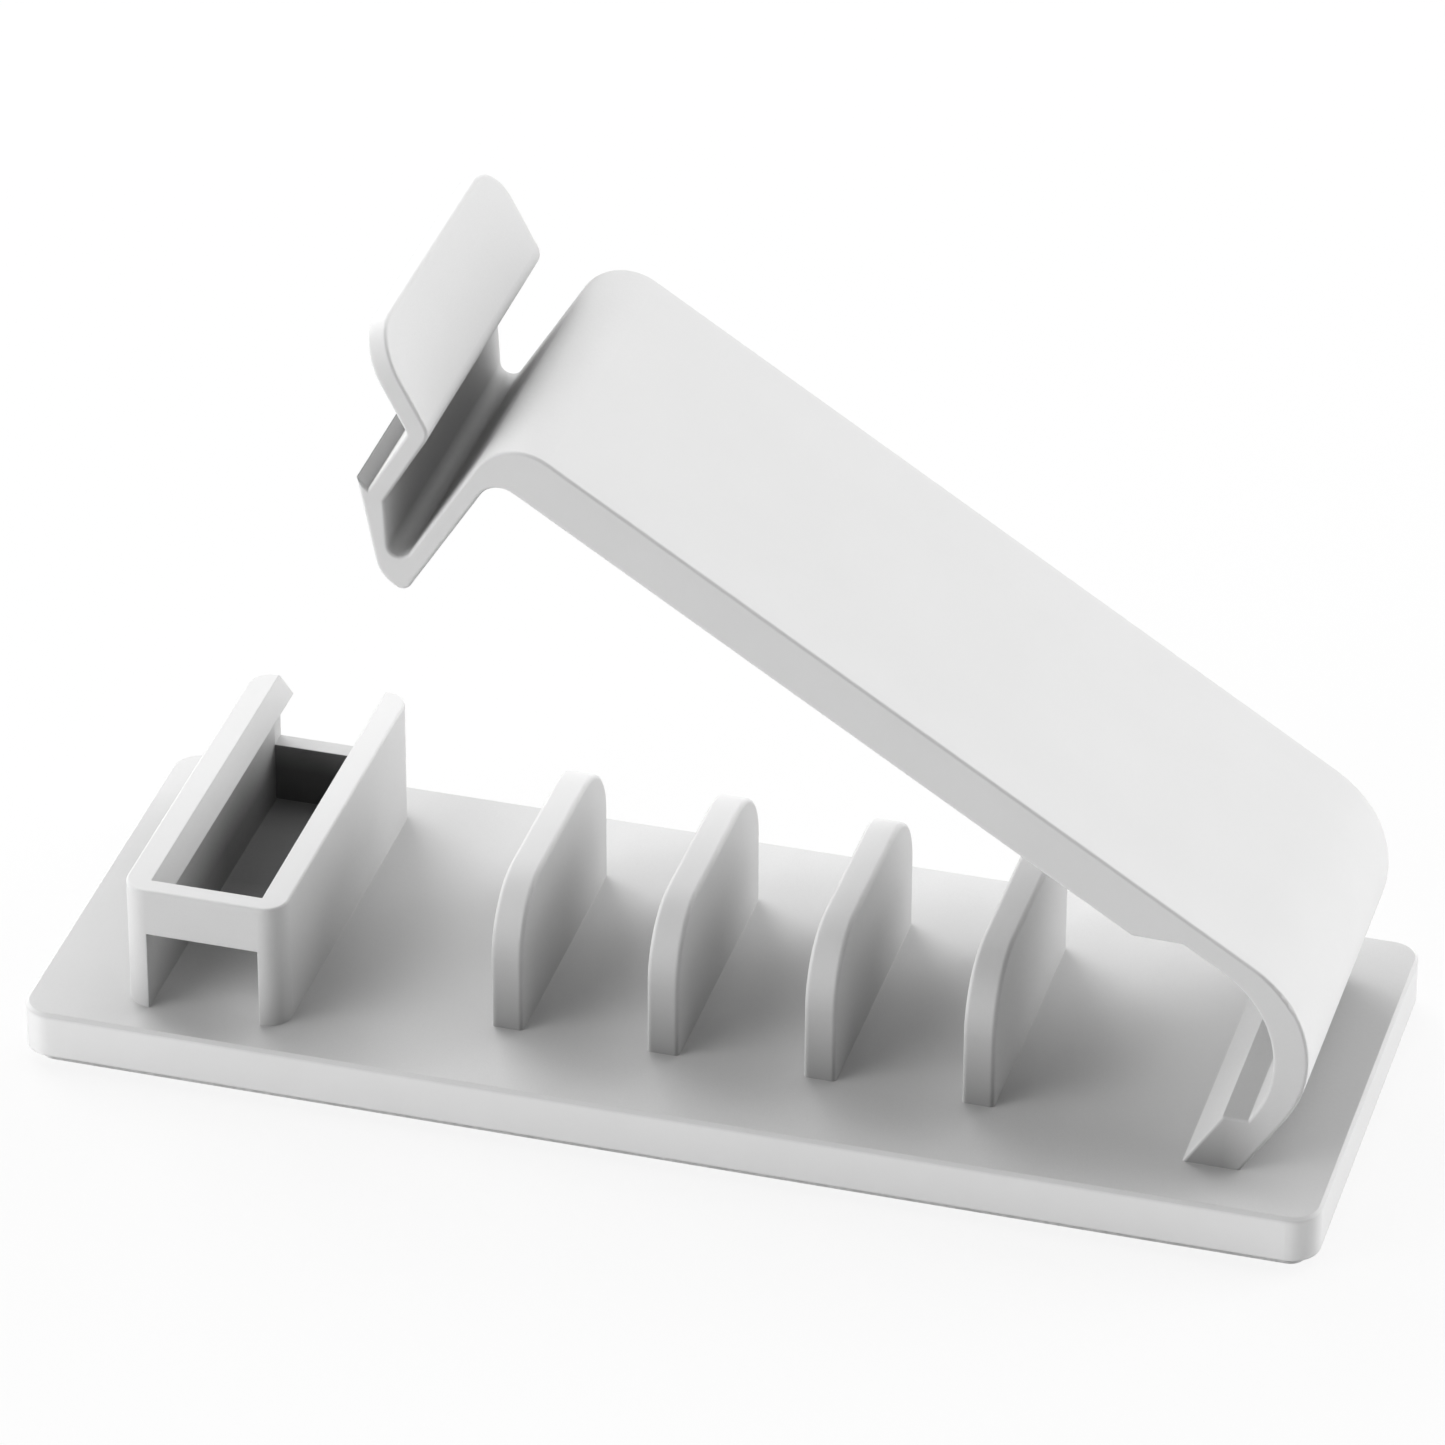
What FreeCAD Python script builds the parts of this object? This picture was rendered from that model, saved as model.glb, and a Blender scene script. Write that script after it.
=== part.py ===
import FreeCAD, Part
import math
import os

# Adhesive cable clip: one white moulding, its arm moulded open, and a foam tape pad under its base.
# Millimetres. +X runs from the catch towards the hinge, +Y to the back, +Z up from the pad's underside.

# Base plate
plate_length = 80.0
plate_width = 30.4
plate_thickness = 3.0
plate_corner_radius = 1.8
plate_edge_chamfer = 0.2

# Foam tape pad
pad_thickness = 0.8
pad_inset = 0.85
pad_corner_radius = 1.0

# Catch housing
housing_end_margin = 5.95
housing_opening = 7.0
housing_wall = 1.6
housing_length = 25.5
housing_height = 8.4
housing_corner_radius = 1.5
housing_edge_radius = 0.15
front_bar_thickness = 1.2
front_bar_depth = 3.1
back_bar_thickness = 1.2
back_bar_height = 3.95

# Catch barb along the housing's left wall
barb_reach = 0.9
barb_lead_height = 1.25
barb_height = 2.6

# Cable dividers
divider_count = 4
divider_pitch = 9.72
divider_thickness = 2.0
divider_width = 17.9
divider_top_radius = 4.3
divider_edge_radius = 0.3
first_slot_width = 11.8
divider_clearance = 1.25

# Arm
tunnel_height = 10.45
open_angle = 32.4
arm_thickness = 3.12
arm_edge_radius = 0.2

# Flexing strip and its foot
hinge_end_margin = 5.1
strip_thickness = 1.65
strip_outer_radius = 7.3
strip_inner_radius = 7.0
foot_height = 3.6
foot_ledge = 1.3
thin_thickness = 1.54
thin_length = 2.8
step_angle = 31.0

# What closing does to the arm: the bending strip draws it towards the catch and lifts it
closing_draw = 2.82
closing_lift = 1.0

# Catch hook at the arm's free end
hook_clearance = 0.35
hook_wall = 1.2
hook_outer_radius = 3.15
hook_inner_radius = 1.4
hook_heel_radius = 0.64
hook_sole_width = 1.84
hook_nose_radius = 2.5
groove_floor_wall = 1.77
groove_floor_radius = 0.7
shoulder_play = 0.95
shoulder_depth = 0.95
shoulder_tilt = 12.0

# Leg and finger tab
leg_thickness = 1.15
leg_lean = 1.6
leg_rise = 5.58
tab_angle = 30.0
tab_length = 6.88
tab_thickness = 1.3
tab_corner_radius = 3.0
tab_bend_radius = 1.1
elbow_radius = 0.4

# The largest share of a side that one rounding may take, and the distance below which two places are one
rounding_share = 0.49
same_place = 1e-6

# Heights and places that follow from the sizes above
plate_top = pad_thickness + plate_thickness
root_depth = plate_thickness / 2
left_end = -plate_length / 2
right_end = plate_length / 2
housing_left = left_end + housing_end_margin
cavity_left = housing_left + housing_wall
cavity_right = cavity_left + housing_opening
housing_right = cavity_right + housing_wall
housing_front = -housing_length / 2
housing_back = housing_length / 2
housing_top = plate_top + housing_height
cavity_front = housing_front + front_bar_thickness
cavity_back = housing_back - back_bar_thickness
hinge_x = right_end - hinge_end_margin
divider_height = tunnel_height - divider_clearance
strip_rise = tunnel_height - foot_height - closing_lift
arm_front = cavity_front + hook_clearance
arm_back = cavity_back - hook_clearance

# The hook's section: places along the arm from the strip's outer face, levels above its lower face
hook_heel = hinge_x + strip_thickness - cavity_right + hook_clearance - closing_draw
hook_nose = hook_heel + housing_opening - 2 * hook_clearance
hook_floor = hook_clearance - tunnel_height
leg_outside = hook_nose - shoulder_depth
leg_inside = leg_outside - leg_thickness / math.cos(math.radians(leg_lean))
shoulder_level = housing_height - barb_height - tunnel_height - shoulder_play


def rounded_box(length, width, height, radius, x, y, z):
    """A box with rounded vertical corners, from its lowest left front corner."""
    box = Part.makeBox(length, width, height, FreeCAD.Vector(x, y, z))
    upright = [edge for edge in box.Edges if is_parallel(edge, FreeCAD.Vector(0, 0, 1))]
    return box.makeFillet(min(radius, rounding_share * min(length, width)), upright)


def is_parallel(edge, direction):
    """True for a straight edge that runs along the direction."""
    if not isinstance(edge.Curve, Part.Line):
        return False
    return edge.Curve.Direction.cross(direction).Length < same_place


def edges_in_plane(shape, normal, offset):
    """The edges that lie wholly in the plane at this offset along the normal."""
    found = []
    for edge in shape.Edges:
        ends = [edge.valueAt(edge.FirstParameter), edge.valueAt(edge.LastParameter)]
        middle = edge.valueAt((edge.FirstParameter + edge.LastParameter) / 2)
        if all(abs(point.dot(normal) - offset) < same_place for point in ends + [middle]):
            found.append(edge)
    return found


def corner_turn(before, corner, after):
    """The angle by which the outline turns at a corner."""
    return (corner - before).getAngle(after - corner)


def fitted_setbacks(corners):
    """How far each corner's arc starts from it, shortened where a side is too short for both its arcs."""
    points = [point for point, radius in corners]
    count = len(points)
    setbacks = []
    for i, (point, radius) in enumerate(corners):
        turn = corner_turn(points[i - 1], point, points[(i + 1) % count])
        setbacks.append(radius * math.tan(turn / 2))
    shares = []
    for i in range(count):
        side = (points[(i + 1) % count] - points[i]).Length
        needed = setbacks[i] + setbacks[(i + 1) % count]
        shares.append(min(1.0, 2 * rounding_share * side / needed) if needed > 0 else 1.0)
    return [setbacks[i] * min(shares[i - 1], shares[i]) for i in range(count)]


def outline_face(corners):
    """A flat face whose outline has an arc of the given radius at each corner."""
    points = [point for point, radius in corners]
    count = len(points)
    setbacks = fitted_setbacks(corners)
    arcs = []
    for i, point in enumerate(points):
        back = (points[i - 1] - point).normalize()
        ahead = (points[(i + 1) % count] - point).normalize()
        start = point + back * setbacks[i]
        end = point + ahead * setbacks[i]
        turn = corner_turn(points[i - 1], point, points[(i + 1) % count])
        bisector = (back + ahead).normalize()
        radius = setbacks[i] / math.tan(turn / 2)
        middle = point + bisector * (radius / math.cos(turn / 2) - radius)
        arcs.append((start, middle, end))
    edges = []
    for i, (start, middle, end) in enumerate(arcs):
        if setbacks[i] > 0:
            edges.append(Part.Arc(start, middle, end).toShape())
        following = arcs[(i + 1) % count][0]
        if (following - end).Length > same_place:
            edges.append(Part.LineSegment(end, following).toShape())
    return Part.Face(Part.Wire(edges))


def base_plate():
    plate = rounded_box(plate_length, plate_width, plate_thickness, plate_corner_radius,
                        left_end, -plate_width / 2, pad_thickness)
    rim = edges_in_plane(plate, FreeCAD.Vector(0, 0, 1), plate_top)
    return plate.makeChamfer(plate_edge_chamfer, rim)


def section_prism(corners, front, back):
    """A section drawn in the plane y = 0, run along the clip's depth from front to back."""
    face = outline_face(corners)
    face.translate(FreeCAD.Vector(0, front, 0))
    return face.extrude(FreeCAD.Vector(0, back - front, 0))


def cavity_prism(lowest, front, back):
    """The room inside the housing above a level, less the barb that stands on the left wall."""
    above = housing_top + housing_wall
    corners = [
        FreeCAD.Vector(cavity_right, 0, lowest),
        FreeCAD.Vector(cavity_right, 0, above),
        FreeCAD.Vector(cavity_left, 0, above),
        FreeCAD.Vector(cavity_left, 0, housing_top),
        FreeCAD.Vector(cavity_left + barb_reach, 0, housing_top - barb_lead_height),
        FreeCAD.Vector(cavity_left, 0, housing_top - barb_height),
        FreeCAD.Vector(cavity_left, 0, lowest),
    ]
    return section_prism([(corner, 0) for corner in corners], front, back)


def catch_housing():
    """Two walls with a high bar across the front, a low bar across the back and a barb on one wall."""
    width = housing_right - housing_left
    shell = rounded_box(width, housing_length, housing_height + root_depth, housing_corner_radius,
                        housing_left, housing_front, plate_top - root_depth)
    rim = edges_in_plane(shell, FreeCAD.Vector(0, 0, 1), housing_top)
    shell = shell.makeFillet(housing_edge_radius, rim)
    cavity = cavity_prism(plate_top, cavity_front, cavity_back)
    notch = cavity_prism(plate_top + back_bar_height, cavity_back - back_bar_thickness,
                         housing_back + back_bar_thickness)
    window = Part.makeBox(housing_opening, 2 * front_bar_thickness, housing_height - front_bar_depth,
                          FreeCAD.Vector(cavity_left, housing_front - front_bar_thickness / 2, plate_top))
    return shell.cut([cavity, notch, window])


def divider(x):
    """An upright plate with its two top corners well rounded and all its free edges softened."""
    bottom = plate_top - root_depth
    top = plate_top + divider_height
    front = -divider_width / 2
    back = divider_width / 2
    face = outline_face([
        (FreeCAD.Vector(x, front, bottom), 0),
        (FreeCAD.Vector(x, front, top), divider_top_radius),
        (FreeCAD.Vector(x, back, top), divider_top_radius),
        (FreeCAD.Vector(x, back, bottom), 0),
    ])
    plate = face.extrude(FreeCAD.Vector(divider_thickness, 0, 0))
    across = FreeCAD.Vector(1, 0, 0)
    rims = edges_in_plane(plate, across, x) + edges_in_plane(plate, across, x + divider_thickness)
    free = [edge for edge in rims if edge.BoundBox.ZMax > bottom + same_place]
    return plate.makeFillet(min(divider_edge_radius, rounding_share * divider_thickness), free)


def arm_point(along, above):
    """A point of the arm's section, in the plane y = 0.

    along runs from the strip's outer face towards the hook, above is measured from the arm's
    lower face, and both turn with the open arm about the inner corner of the foot's ledge.
    """
    angle = math.radians(open_angle)
    reach = along - strip_thickness
    rise = above + strip_rise
    x = hinge_x - reach * math.cos(angle) + rise * math.sin(angle)
    z = plate_top + foot_height + reach * math.sin(angle) + rise * math.cos(angle)
    return FreeCAD.Vector(x, 0, z)


def above_at_height(along, height):
    """The arm's own coordinate 'above' of the point that stands at this height."""
    angle = math.radians(open_angle)
    reach = along - strip_thickness
    rise = (height - plate_top - foot_height - reach * math.sin(angle)) / math.cos(angle)
    return rise - strip_rise


def foot_and_strip_corners():
    """The outline from the arm's lower face, round the foot and up to the arm's top face."""
    thin_above = arm_thickness - thin_thickness
    thin_end = strip_thickness + strip_inner_radius + thin_length
    step_end = thin_end + thin_above / math.tan(math.radians(step_angle))
    ramp = strip_thickness + foot_ledge
    ledge = plate_top + foot_height
    root = plate_top - root_depth
    return [
        (arm_point(step_end, 0), 0),
        (arm_point(thin_end, thin_above), 0),
        (arm_point(strip_thickness, thin_above), strip_inner_radius),
        (arm_point(strip_thickness, above_at_height(strip_thickness, ledge)), 0),
        (arm_point(ramp, above_at_height(ramp, ledge)), 0),
        (arm_point(ramp, above_at_height(ramp, root)), 0),
        (arm_point(0, above_at_height(0, root)), 0),
        (arm_point(0, arm_thickness), strip_outer_radius),
    ]


def tab_point(along_tab, below):
    """A point of the finger tab's section, from the bend on its upper face."""
    angle = math.radians(tab_angle)
    lean = math.tan(math.radians(leg_lean))
    along = leg_inside + leg_rise * lean + along_tab * math.cos(angle) + below * math.sin(angle)
    above = shoulder_level + leg_rise + along_tab * math.sin(angle) - below * math.cos(angle)
    return along, above


def elbow():
    """Where the tab's underside meets the leg's outer face."""
    lean = math.tan(math.radians(leg_lean))
    slope = math.tan(math.radians(tab_angle))
    along, above = tab_point(0, tab_thickness)
    rise = (above - shoulder_level - (along - leg_outside) * slope) / (1 - lean * slope)
    return leg_outside + rise * lean, shoulder_level + rise


def groove_root(groove_side):
    """The level where the groove's two sides would meet, one upright and one sloping down from the leg."""
    run = leg_inside - groove_side - groove_floor_radius
    drop = shoulder_level - (hook_floor + groove_floor_wall + groove_floor_radius)
    reach = math.hypot(run, drop)
    slope = math.atan2(drop, run) + math.asin(min(1.0, groove_floor_radius / reach))
    return shoulder_level - (leg_inside - groove_side) * math.tan(slope)


def hook_corners():
    """The outline from the arm's top face down into the groove, round the tab and under the hook."""
    groove_side = hook_heel + hook_wall
    tilt = shoulder_depth * math.tan(math.radians(shoulder_tilt))
    return [
        (arm_point(groove_side, arm_thickness), hook_outer_radius),
        (arm_point(groove_side, groove_root(groove_side)), groove_floor_radius),
        (arm_point(leg_inside, shoulder_level), 0),
        (arm_point(*tab_point(0, 0)), tab_bend_radius),
        (arm_point(*tab_point(tab_length, 0)), 0),
        (arm_point(*tab_point(tab_length, tab_thickness)), 0),
        (arm_point(*elbow()), elbow_radius),
        (arm_point(leg_outside, shoulder_level), 0),
        (arm_point(hook_nose, shoulder_level + tilt), 0),
        (arm_point(hook_heel + hook_sole_width, hook_floor), hook_nose_radius),
        (arm_point(hook_heel, hook_floor), hook_heel_radius),
        (arm_point(hook_heel, 0), hook_inner_radius),
    ]


def rounded_tab(body):
    """The arm with its tab's two free corners rounded in the plane of the tab."""
    tip = (arm_point(*tab_point(tab_length, 0)) + arm_point(*tab_point(tab_length, tab_thickness))) / 2
    corners = [edge for edge in body.Edges
               if math.hypot(edge.CenterOfMass.x - tip.x, edge.CenterOfMass.z - tip.z) < same_place]
    return body.makeFillet(tab_corner_radius, corners)


def arm():
    """The arm as one profile across the clip: foot, flexing strip, beam, hook, leg and finger tab."""
    body = rounded_tab(section_prism(foot_and_strip_corners() + hook_corners(), arm_front, arm_back))
    across = FreeCAD.Vector(0, 1, 0)
    sides = edges_in_plane(body, across, arm_front) + edges_in_plane(body, across, arm_back)
    return body.makeFillet(arm_edge_radius, sides)


def clip_body():
    pieces = [catch_housing(), arm()]
    first = housing_right + first_slot_width
    for i in range(divider_count):
        pieces.append(divider(first + i * divider_pitch))
    return base_plate().fuse(pieces).removeSplitter()


def adhesive_pad():
    return rounded_box(plate_length - 2 * pad_inset, plate_width - 2 * pad_inset, pad_thickness,
                       pad_corner_radius, left_end + pad_inset, -plate_width / 2 + pad_inset, 0)


os.makedirs("parts", exist_ok=True)
clip_body().exportStep("parts/clip_body.step")
adhesive_pad().exportStep("parts/adhesive_pad.step")
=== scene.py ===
"""Adhesive cable clip on a plain pale floor: white moulded plastic body on a pale grey foam pad.

Lengths are in metres, in the part's own frame: X along the base, -Y towards the front, Z up.
"""

import math

import bpy
from mathutils import Matrix, Vector

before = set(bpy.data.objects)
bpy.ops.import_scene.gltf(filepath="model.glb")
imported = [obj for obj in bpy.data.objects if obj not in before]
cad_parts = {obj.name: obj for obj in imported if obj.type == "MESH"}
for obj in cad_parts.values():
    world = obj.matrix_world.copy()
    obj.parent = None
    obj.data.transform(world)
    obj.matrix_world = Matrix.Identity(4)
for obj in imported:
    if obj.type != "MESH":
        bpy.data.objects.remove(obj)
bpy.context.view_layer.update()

# Camera, at the photograph's viewing angle: roll in degrees, sensor and lens in millimetres
camera_place = (0.116329, -0.413041, 0.292332)
camera_aim = (-0.229751, 0.814339, -0.532978)
camera_roll = 0.168
camera_sensor = 36.0
camera_lens = 212.44
camera_near = 0.01

# White moulded plastic
plastic_value = 0.74
plastic_mottle = 0.03
plastic_roughness = (0.50, 0.62)
plastic_gloss = 0.3
mottle_size = 0.009
mottle_detail = 3.0
grain_size = 0.00035
grain_detail = 2.0
grain_height = 0.000006
edge_softness = 0.00012
edge_samples = 6

# Painted shade in its recesses: the share of its colour kept at each openness, from 0 for closed to
# 1 for open
recess_reach = 0.016
recess_samples = 8
painted_recess_shades = (
    (0.0, 0.50), (0.2, 0.54), (0.3, 0.66), (0.45, 0.73),
    (0.65, 0.77), (0.85, 0.86), (0.94, 0.93), (1.0, 1.0),
)

# Painted shade in the catch housing's pocket, darkest at its back and floor
pocket_middle = -0.02895
pocket_half_width = 0.00355
pocket_half_depth = 0.01158
pocket_floor = 0.0037
pocket_heights = (0.0095, 0.0060)
pocket_depths = (-0.010, 0.002)
pocket_painted_shade = 0.62

# Painted shade on front faces that stand back from the plate's front edge, darkest at their feet
foot_facing = (-0.5, -0.95)
foot_heights = (0.0115, 0.0040)
foot_depths = (-0.0125, -0.0112)
foot_ends = (0.0362, 0.0335)
foot_painted_shade = 0.42

# Painted light on the plate's front edge, made lighter than the faces above it for the floor's light
# that it catches
rim_facing = (-0.6, -0.98)
rim_heights = (0.0037, 0.0034)
rim_painted_light = 0.22

# Closed-cell foam pad
foam_value = (0.64, 0.82)
foam_roughness = (0.86, 0.96)
foam_cell_size = 0.00045
foam_cell_depth = 0.00006
foam_relief = 0.6

# Floor and surround: the floor's size and paint, and how much of its white is its own
floor_side = 6.0
floor_value = 0.85
floor_mottle = 0.01
floor_grain_size = 0.02
floor_grain_detail = 2.0
floor_roughness = 0.9
floor_white_share = 0.86
surround_colour = (1, 1, 1, 1)

# Soft lamps: name, azimuth from the front and elevation in degrees, irradiance, width and height
lamp_distance = 1.0
square_lamp = (0.62, 0.62)
wide_lamp = (0.70, 0.42)
lamps = (
    ("back_left", 225, 32, 1.60, square_lamp),
    ("left_low", 300, 12, 1.52, wide_lamp),
    ("right_low", 120, 12, 1.30, wide_lamp),
    ("back_right", 135, 32, 0.92, square_lamp),
    ("front_left", 315, 32, 0.88, square_lamp),
    ("back_left_high", 240, 62, 0.74, square_lamp),
    ("back_right_high", 120, 62, 0.62, square_lamp),
    ("right_side_low", 90, 12, 0.36, wide_lamp),
    ("back_high", 180, 62, 0.30, square_lamp),
)


def new_material(name):
    """An empty node material with a Principled shader, and that shader's tree."""
    material = bpy.data.materials.new(name)
    material.use_nodes = True
    tree = material.node_tree
    return material, tree, tree.nodes["Principled BSDF"]


def add(tree, kind, inputs=None, **settings):
    """Adds a node. A value in inputs that is an output socket is linked, and others are set."""
    made = tree.nodes.new(kind)
    for key, value in settings.items():
        setattr(made, key, value)
    for key, value in (inputs or {}).items():
        if isinstance(value, bpy.types.NodeSocket):
            tree.links.new(value, made.inputs[key])
        else:
            made.inputs[key].default_value = value
    return made


def calculate(tree, operation, *values):
    """The result of one maths node on sockets and numbers."""
    return add(tree, "ShaderNodeMath", dict(enumerate(values)), operation=operation).outputs[0]


def multiply(tree, first, *others):
    """The product of sockets and numbers."""
    product = first
    for other in others:
        product = calculate(tree, "MULTIPLY", product, other)
    return product


def spread(tree, source, low, high):
    """Maps a source that runs from 0 to 1 onto the range from low to high."""
    inputs = {"Value": source, "To Min": low, "To Max": high}
    return add(tree, "ShaderNodeMapRange", inputs).outputs[0]


def share_of(tree, source, start, end):
    """How far a source is on its way from start to end, from 0 to 1."""
    inputs = {"Value": source, "From Min": start, "From Max": end}
    return add(tree, "ShaderNodeMapRange", inputs).outputs[0]


def noise(tree, place, size, detail):
    """Noise with features of a real size, from 0 to 1."""
    inputs = {"Vector": place, "Scale": 1.0 / size, "Detail": detail}
    return add(tree, "ShaderNodeTexNoise", inputs).outputs["Fac"]


def surface_place(tree):
    """The point on the surface, in the part's own frame."""
    return add(tree, "ShaderNodeTexCoord").outputs["Object"]


def facing_back(tree):
    """How far a surface faces the back, from 1 down to -1 for one that faces the front."""
    normal = add(tree, "ShaderNodeNewGeometry").outputs["Normal"]
    return add(tree, "ShaderNodeSeparateXYZ", {0: normal}).outputs["Y"]


def set_relief(tree, shader, inputs):
    """Gives a shader a bumped surface."""
    bump = add(tree, "ShaderNodeBump", inputs)
    tree.links.new(bump.outputs["Normal"], shader.inputs["Normal"])


def painted_recess_shade(tree):
    """Painted shade: how much of its colour a surface keeps, from open surfaces down into narrow
    recesses.
    """
    openness = add(tree, "ShaderNodeAmbientOcclusion", {"Distance": recess_reach},
                   samples=recess_samples, only_local=True)
    ramp = add(tree, "ShaderNodeValToRGB", {"Fac": openness.outputs["AO"]})
    stops = ramp.color_ramp.elements
    stops.remove(stops[1])  # a new ramp has two stops, and the first one is used at 0
    for position, shade in painted_recess_shades:
        stop = stops.new(position) if position > 0 else stops[0]
        stop.color = (shade, shade, shade, 1)
    return ramp.outputs["Color"]


def painted_pocket_shade(tree, part):
    """Painted shade: how much of its colour the housing's pocket keeps, from its mouth to its floor
    and back.
    """
    across = calculate(tree, "COMPARE", part["X"], pocket_middle, pocket_half_width)
    along = calculate(tree, "COMPARE", part["Y"], 0.0, pocket_half_depth)
    above = calculate(tree, "GREATER_THAN", part["Z"], pocket_floor)
    low = share_of(tree, part["Z"], *pocket_heights)
    back = share_of(tree, part["Y"], *pocket_depths)
    return spread(tree, multiply(tree, across, along, above, low, back), 1.0, 1.0 - pocket_painted_shade)


def painted_foot_shade(tree, part, facing):
    """Painted shade: how much of their colour the front faces keep that stand back from the plate's
    edge.
    """
    front = share_of(tree, facing, *foot_facing)
    low = share_of(tree, part["Z"], *foot_heights)
    set_back = share_of(tree, part["Y"], *foot_depths)
    inside = share_of(tree, part["X"], *foot_ends)
    return spread(tree, multiply(tree, set_back, inside, front, low), 1.0, 1.0 - foot_painted_shade)


def painted_rim_light(tree, part, facing):
    """Painted light: how much lighter the plate's front edge is made than the rest of the plastic.
    """
    front = share_of(tree, facing, *rim_facing)
    low = share_of(tree, part["Z"], *rim_heights)
    return spread(tree, multiply(tree, front, low), 1.0, 1.0 + rim_painted_light)


def painted_plastic_light_and_shade(tree, place):
    """The plastic's painted shade in recesses, pocket and at the feet of front faces, and painted
    light on the plate's front edge, in one.
    """
    part = add(tree, "ShaderNodeSeparateXYZ", {0: place}).outputs
    facing = facing_back(tree)
    # painted shade at the feet of front faces times painted light on the plate's front edge
    front = multiply(tree, painted_foot_shade(tree, part, facing), painted_rim_light(tree, part, facing))
    return multiply(tree, painted_recess_shade(tree), painted_pocket_shade(tree, part), front)


def moulded_plastic():
    """Satin white plastic with a faint mottle and a fine grain, whose colour carries painted shade
    in recesses and painted light on the plate's front edge.
    """
    material, tree, shader = new_material("moulded_white_plastic")
    place = surface_place(tree)
    mottle = noise(tree, place, mottle_size, mottle_detail)
    grain = noise(tree, place, grain_size, grain_detail)
    darkest, lightest = plastic_value * (1 - plastic_mottle), plastic_value * (1 + plastic_mottle)
    # the base colour is the mottled white times the painted shade and painted light
    colour = multiply(tree, spread(tree, mottle, darkest, lightest), painted_plastic_light_and_shade(tree, place))
    tree.links.new(colour, shader.inputs["Base Color"])
    tree.links.new(spread(tree, grain, *plastic_roughness), shader.inputs["Roughness"])
    shader.inputs["Specular IOR Level"].default_value = plastic_gloss
    rounded = add(tree, "ShaderNodeBevel", {"Radius": edge_softness}, samples=edge_samples)
    relief = {"Height": grain, "Distance": grain_height, "Normal": rounded.outputs["Normal"]}
    set_relief(tree, shader, relief)
    return material


def foam_tape():
    """Matt closed-cell foam: small cells that show on its cut edges."""
    material, tree, shader = new_material("foam_tape")
    cell_inputs = {"Vector": surface_place(tree), "Scale": 1.0 / foam_cell_size}
    cells = add(tree, "ShaderNodeTexVoronoi", cell_inputs).outputs["Distance"]
    darkest, lightest = foam_value
    tree.links.new(spread(tree, cells, lightest, darkest), shader.inputs["Base Color"])
    tree.links.new(spread(tree, cells, *foam_roughness), shader.inputs["Roughness"])
    set_relief(tree, shader, {"Height": cells, "Distance": foam_cell_depth, "Strength": foam_relief})
    return material


def dress(node_name, material):
    """Gives a CAD node its finish on every one of its material slots."""
    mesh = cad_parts[node_name].data
    if not mesh.materials:
        mesh.materials.append(material)
    for index in range(len(mesh.materials)):
        mesh.materials[index] = material


def seen_directly(tree):
    """1 for rays from the camera, a gloss or a transparent surface, and 0 for the rest."""
    path = add(tree, "ShaderNodeLightPath").outputs
    seen = calculate(tree, "MAXIMUM", path["Is Camera Ray"], path["Is Glossy Ray"])
    return calculate(tree, "MAXIMUM", seen, path["Is Transmission Ray"])


def floor_paint():
    """Pale matt floor, which is nearly white to the eye and still takes the part's shadow."""
    material, tree, shader = new_material("pale_floor")
    grain = noise(tree, surface_place(tree), floor_grain_size, floor_grain_detail)
    colour = spread(tree, grain, floor_value - floor_mottle, floor_value + floor_mottle)
    tree.links.new(colour, shader.inputs["Base Color"])
    shader.inputs["Roughness"].default_value = floor_roughness
    shader.inputs["Specular IOR Level"].default_value = 0.0
    white = add(tree, "ShaderNodeEmission", {"Strength": 1.0})
    share = multiply(tree, seen_directly(tree), floor_white_share)
    mixed = add(tree, "ShaderNodeMixShader", {0: share, 1: shader.outputs[0], 2: white.outputs[0]})
    tree.links.new(mixed.outputs[0], tree.nodes["Material Output"].inputs["Surface"])
    return material


def add_floor():
    """A flat square floor, which isn't part of the object."""
    half = floor_side / 2
    mesh = bpy.data.meshes.new("floor")
    corners = [(-half, -half, 0), (half, -half, 0), (half, half, 0), (-half, half, 0)]
    mesh.from_pydata(corners, [], [(0, 1, 2, 3)])
    mesh.materials.append(floor_paint())
    floor = bpy.data.objects.new("floor", mesh)
    bpy.context.scene.collection.objects.link(floor)


def add_world():
    """A white surround for the eye and for gloss, which adds no light of its own."""
    world = bpy.data.worlds.new("surround")
    world.use_nodes = True
    tree = world.node_tree
    background = tree.nodes["Background"]
    background.inputs["Color"].default_value = surround_colour
    tree.links.new(seen_directly(tree), background.inputs["Strength"])
    bpy.context.scene.world = world


def add_lamp(name, azimuth, elevation, irradiance, size):
    """A soft rectangular lamp that faces the part from a direction."""
    turn, rise = math.radians(azimuth), math.radians(elevation)
    level = math.cos(rise)
    towards = Vector((math.sin(turn) * level, -math.cos(turn) * level, math.sin(rise)))
    light = bpy.data.lights.new(name, "AREA")
    light.shape = "RECTANGLE"
    light.size, light.size_y = size
    light.energy = irradiance * math.pi * lamp_distance ** 2
    lamp = bpy.data.objects.new(name, light)
    lamp.location = towards * lamp_distance
    lamp.rotation_mode = "QUATERNION"
    lamp.rotation_quaternion = towards.to_track_quat("Z", "Y")
    bpy.context.scene.collection.objects.link(lamp)


def add_camera():
    """The camera that took the photograph, as solved from the plate's edges and corners."""
    data = bpy.data.cameras.new("photo_view")
    data.sensor_width = camera_sensor
    data.lens = camera_lens
    data.clip_start = camera_near
    camera = bpy.data.objects.new("photo_view", data)
    aim = Vector(camera_aim).to_track_quat("-Z", "Y")
    roll = Matrix.Rotation(math.radians(camera_roll), 3, "Z").to_quaternion()
    camera.location = camera_place
    camera.rotation_mode = "QUATERNION"
    camera.rotation_quaternion = aim @ roll
    bpy.context.scene.collection.objects.link(camera)
    bpy.context.scene.camera = camera


add_camera()
dress("clip_body", moulded_plastic())
dress("adhesive_pad", foam_tape())
add_floor()
add_world()
for lamp in lamps:
    add_lamp(*lamp)
bpy.context.scene.view_settings.view_transform = "Standard"
